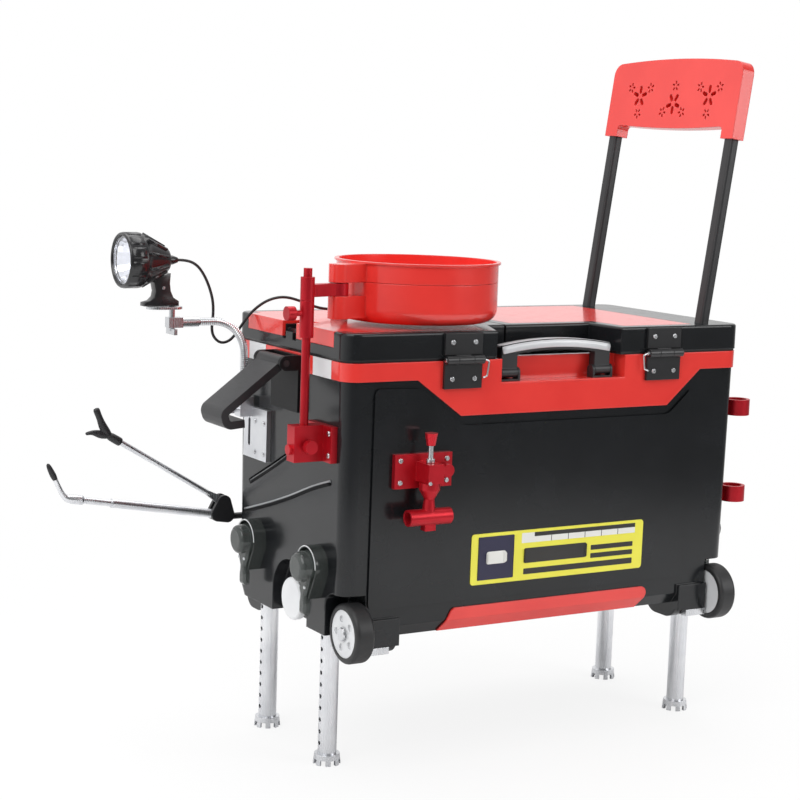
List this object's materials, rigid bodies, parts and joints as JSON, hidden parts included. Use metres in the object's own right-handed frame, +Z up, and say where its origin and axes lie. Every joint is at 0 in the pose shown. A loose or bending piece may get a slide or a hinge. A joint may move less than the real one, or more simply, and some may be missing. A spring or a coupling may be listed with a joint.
{
  "type": "fishing seat box",
  "caption": "Insulated fishing seat box on telescopic legs with a backrest, bait basin, lamp, rod rest, rod turret, umbrella holder, carry and tow handles and transport wheels.",
  "frame": {"origin": "middle of the box outline on the floor that the feet stand on", "axes": "+X along the box to the backrest end, +Y to the rear away from the carry handle, +Z up"},
  "size_m": [0.8402, 0.348, 0.8362],
  "materials": {
    "black_gloss": "gloss",
    "black_matte": "satin",
    "red_gloss": "gloss",
    "red_metal": "satin",
    "white_plastic": "satin",
    "pale_liner": "satin",
    "foam": "matte",
    "smoke_plastic": "gloss",
    "tube_aluminium": "satin",
    "plate_aluminium": "satin",
    "steel": "satin",
    "black_metal": "satin",
    "hub_silver": "gloss",
    "tyre_black": "matte",
    "seal_rubber": "matte",
    "cord_black": "satin",
    "lens_clear": "polished",
    "silver_plastic": "gloss"
  },
  "bodies": {
    "box": {"body_shell": "black_gloss", "inner_liner": "pale_liner", "foam_core": "foam", "rim_trim": "red_gloss", "rim_end_inserts": "white_plastic", "bumper_strip": "red_gloss", "leg_sleeves": "black_matte", "lock_housings": "smoke_plastic", "wheel_axles": "steel", "deck_frame": "black_gloss", "deck_panel": "red_gloss", "hinge_leaves": "black_metal", "hinge_wires": "steel", "panel_screws": "steel", "handle_feet": "black_matte", "tow_bracket": "black_matte", "post_clamp": "red_metal", "basin_post": "red_metal", "turret_bases": "red_metal", "umbrella_holder": "red_metal", "lamp_plate": "plate_aluminium", "gooseneck": "steel", "lamp_bracket": "steel", "lamp_cord": "cord_black", "cord_grommet": "seal_rubber", "rest_joint": "black_matte", "rest_lower_tube": "tube_aluminium", "rest_hook": "black_matte"},
    "seat_lid": {"seat_frame": "black_gloss", "seat_panel": "red_gloss", "seat_seal": "seal_rubber", "seat_hinge_leaf": "black_metal", "seat_hinge_screws": "steel"},
    "backrest": {"backrest_posts": "black_matte", "backrest_plate": "red_gloss"},
    "leg_front_left": {"leg_front_left": "tube_aluminium"},
    "leg_rear_left": {"leg_rear_left": "tube_aluminium"},
    "leg_front_right": {"leg_front_right": "tube_aluminium"},
    "leg_rear_right": {"leg_rear_right": "tube_aluminium"},
    "lever_front_left": {"lever_front_left": "black_gloss"},
    "lever_rear_left": {"lever_rear_left": "black_gloss"},
    "lever_front_right": {"lever_front_right": "black_gloss"},
    "lever_rear_right": {"lever_rear_right": "black_gloss"},
    "left_wheel": {"left_wheel_tyre": "tyre_black", "left_wheel_hub": "hub_silver"},
    "right_wheel": {"right_wheel_tyre": "tyre_black", "right_wheel_hub": "hub_silver"},
    "drain_plug": {"drain_plug": "white_plastic"},
    "carry_handle": {"carry_handle": "black_matte", "handle_insert": "silver_plastic"},
    "tow_handle": {"tow_handle": "black_matte"},
    "basin": {"basin_arm": "red_metal", "bait_bowl": "red_gloss"},
    "tray": {"bait_tray": "red_gloss"},
    "turret": {"turret_neck": "red_metal"},
    "turret_pin": {"turret_knob": "red_metal"},
    "lamp_head": {"lamp_housing": "black_matte", "lamp_lens": "lens_clear"},
    "rest_arm": {"rest_upper_tube": "tube_aluminium", "rest_fork": "black_matte"}
  },
  "joints": [
    {"name": "lid_open", "type": "hinge", "parent": "box", "child": "seat_lid", "pos_m": [0.156, -0.1465, 0.4762], "axis": [1, 0, 0], "range_deg": [0, 95]},
    {"name": "backrest_lift", "type": "slide", "parent": "seat_lid", "child": "backrest", "axis": [0.1392, 0, 0.9903], "range_m": [0, 0.02]},
    {"name": "leg_front_left_slide", "type": "slide", "parent": "box", "child": "leg_front_left", "axis": [0, 0, 1], "range_m": [0, 0.12]},
    {"name": "lever_front_left_release", "type": "hinge", "parent": "box", "child": "lever_front_left", "pos_m": [-0.285, -0.079, 0.247], "axis": [0, 1, 0], "range_deg": [0, 25], "stiffness_Nm_per_rad": 0.5},
    {"name": "leg_rear_left_slide", "type": "slide", "parent": "box", "child": "leg_rear_left", "axis": [0, 0, 1], "range_m": [0, 0.12]},
    {"name": "lever_rear_left_release", "type": "hinge", "parent": "box", "child": "lever_rear_left", "pos_m": [-0.285, 0.079, 0.247], "axis": [0, 1, 0], "range_deg": [0, 25], "stiffness_Nm_per_rad": 0.5},
    {"name": "left_wheel_spin", "type": "hinge", "parent": "box", "child": "left_wheel", "pos_m": [-0.26, -0.134, 0.169], "axis": [1, 0, 0], "continuous": true},
    {"name": "leg_front_right_slide", "type": "slide", "parent": "box", "child": "leg_front_right", "axis": [0, 0, 1], "range_m": [0, 0.12]},
    {"name": "lever_front_right_release", "type": "hinge", "parent": "box", "child": "lever_front_right", "pos_m": [0.285, -0.079, 0.247], "axis": [0, -1, 0], "range_deg": [0, 25], "stiffness_Nm_per_rad": 0.5},
    {"name": "leg_rear_right_slide", "type": "slide", "parent": "box", "child": "leg_rear_right", "axis": [0, 0, 1], "range_m": [0, 0.12]},
    {"name": "lever_rear_right_release", "type": "hinge", "parent": "box", "child": "lever_rear_right", "pos_m": [0.285, 0.079, 0.247], "axis": [0, -1, 0], "range_deg": [0, 25], "stiffness_Nm_per_rad": 0.5},
    {"name": "right_wheel_spin", "type": "hinge", "parent": "box", "child": "right_wheel", "pos_m": [0.26, -0.134, 0.169], "axis": [1, 0, 0], "continuous": true},
    {"name": "drain_pull", "type": "slide", "parent": "box", "child": "drain_plug", "axis": [-1, 0, 0], "range_m": [0, 0.03]},
    {"name": "carry_handle_swing", "type": "hinge", "parent": "box", "child": "carry_handle", "pos_m": [0.0055, -0.129, 0.4575], "axis": [1, 0, 0], "range_deg": [0, 75]},
    {"name": "tow_handle_swing", "type": "hinge", "parent": "box", "child": "tow_handle", "pos_m": [-0.3, 0, 0.464], "axis": [0, 1, 0], "range_deg": [0, 75]},
    {"name": "basin_swing", "type": "hinge", "parent": "box", "child": "basin", "pos_m": [-0.305, -0.09, 0.554], "axis": [0, 0, 1], "range_deg": [-100, 0]},
    {"name": "tray_swing", "type": "hinge", "parent": "basin", "child": "tray", "pos_m": [-0.258, -0.076, 0.571], "axis": [0, 0, 1], "range_deg": [-100, 0]},
    {"name": "turret_turn", "type": "hinge", "parent": "box", "child": "turret", "pos_m": [-0.1805, -0.16, 0.33], "axis": [0, 0, 1], "range_deg": [-25, 25]},
    {"name": "turret_pin_pull", "type": "slide", "parent": "box", "child": "turret_pin", "axis": [0, 0, 1], "range_m": [0, 0.012], "stiffness_N_per_m": 400},
    {"name": "lamp_pan", "type": "hinge", "parent": "box", "child": "lamp_head", "pos_m": [-0.386, 0.095, 0.52], "axis": [0, 0, 1], "range_deg": [-60, 60], "deforming": ["lamp_cord"]},
    {"name": "rest_arm_fold", "type": "hinge", "parent": "box", "child": "rest_arm", "pos_m": [-0.286, 0.16, 0.2675], "axis": [0, 1, 0], "range_deg": [-15, 60]}
  ]
}
